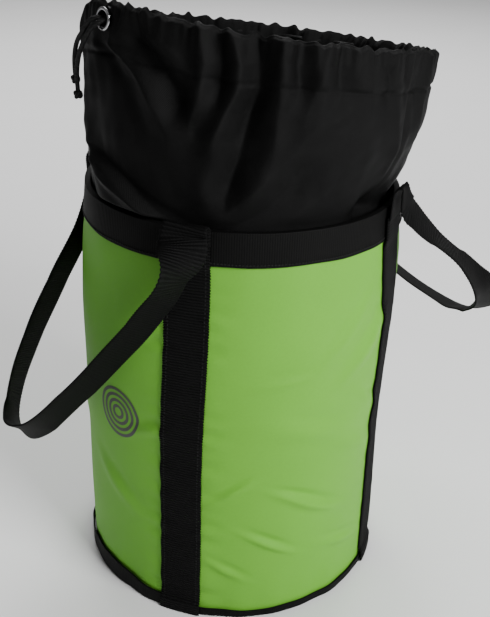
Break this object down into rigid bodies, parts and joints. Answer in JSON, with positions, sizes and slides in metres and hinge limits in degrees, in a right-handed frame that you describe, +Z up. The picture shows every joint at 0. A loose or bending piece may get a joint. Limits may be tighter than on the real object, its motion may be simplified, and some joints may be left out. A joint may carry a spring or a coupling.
{
  "type": "rope storage bag",
  "caption": "Round upright fabric bag for climbing rope, with webbing straps, swinging webbing carry handles and a gathered drawcord collar.",
  "frame": {"origin": "middle of the underside of the base, on the floor", "axes": "+Z up, out of the bag's mouth; the carry handles are at -X and +X; -Y faces the front panel"},
  "size_m": [0.5096, 0.307, 0.5635],
  "materials": {
    "green_cloth": "coated polyester cloth, soft satin",
    "black_cloth": "woven polyester, matte",
    "black_webbing": "ribbed polyester webbing, slight sheen",
    "black_binding": "ribbed binding tape, matte",
    "black_cord": "braided cord, matte",
    "board": "plain stiffener board",
    "eyelet_metal": "bright nickel plate"
  },
  "bodies": {
    "bag": {"base_panel": "black_cloth", "base_board": "board", "base_lining": "black_cloth", "base_binding": "black_binding", "wall_front": "green_cloth", "wall_right": "green_cloth", "wall_rear": "green_cloth", "wall_left": "green_cloth", "rim_binding": "black_binding", "strap_front_left": "black_webbing", "strap_front_right": "black_webbing", "strap_rear_left": "black_webbing", "strap_rear_right": "black_webbing", "collar": "black_cloth", "eyelet": "eyelet_metal", "eyelet_washer": "eyelet_metal", "drawcord_ring": "black_cord", "drawcord_tail_front": "black_cord", "drawcord_tail_rear": "black_cord", "drawcord_knot_front": "black_cord", "drawcord_knot_rear": "black_cord"},
    "handle_left": {"handle_left": "black_webbing"},
    "handle_right": {"handle_right": "black_webbing"}
  },
  "joints": [
    {"name": "handle_left_swing", "type": "hinge", "parent": "bag", "child": "handle_left", "pos_m": [-0.114, 0, 0.403], "axis": [0, 1, 0], "range_deg": [-2, 108]},
    {"name": "handle_right_swing", "type": "hinge", "parent": "bag", "child": "handle_right", "pos_m": [0.114, 0, 0.403], "axis": [0, -1, 0], "range_deg": [-5, 112]}
  ]
}
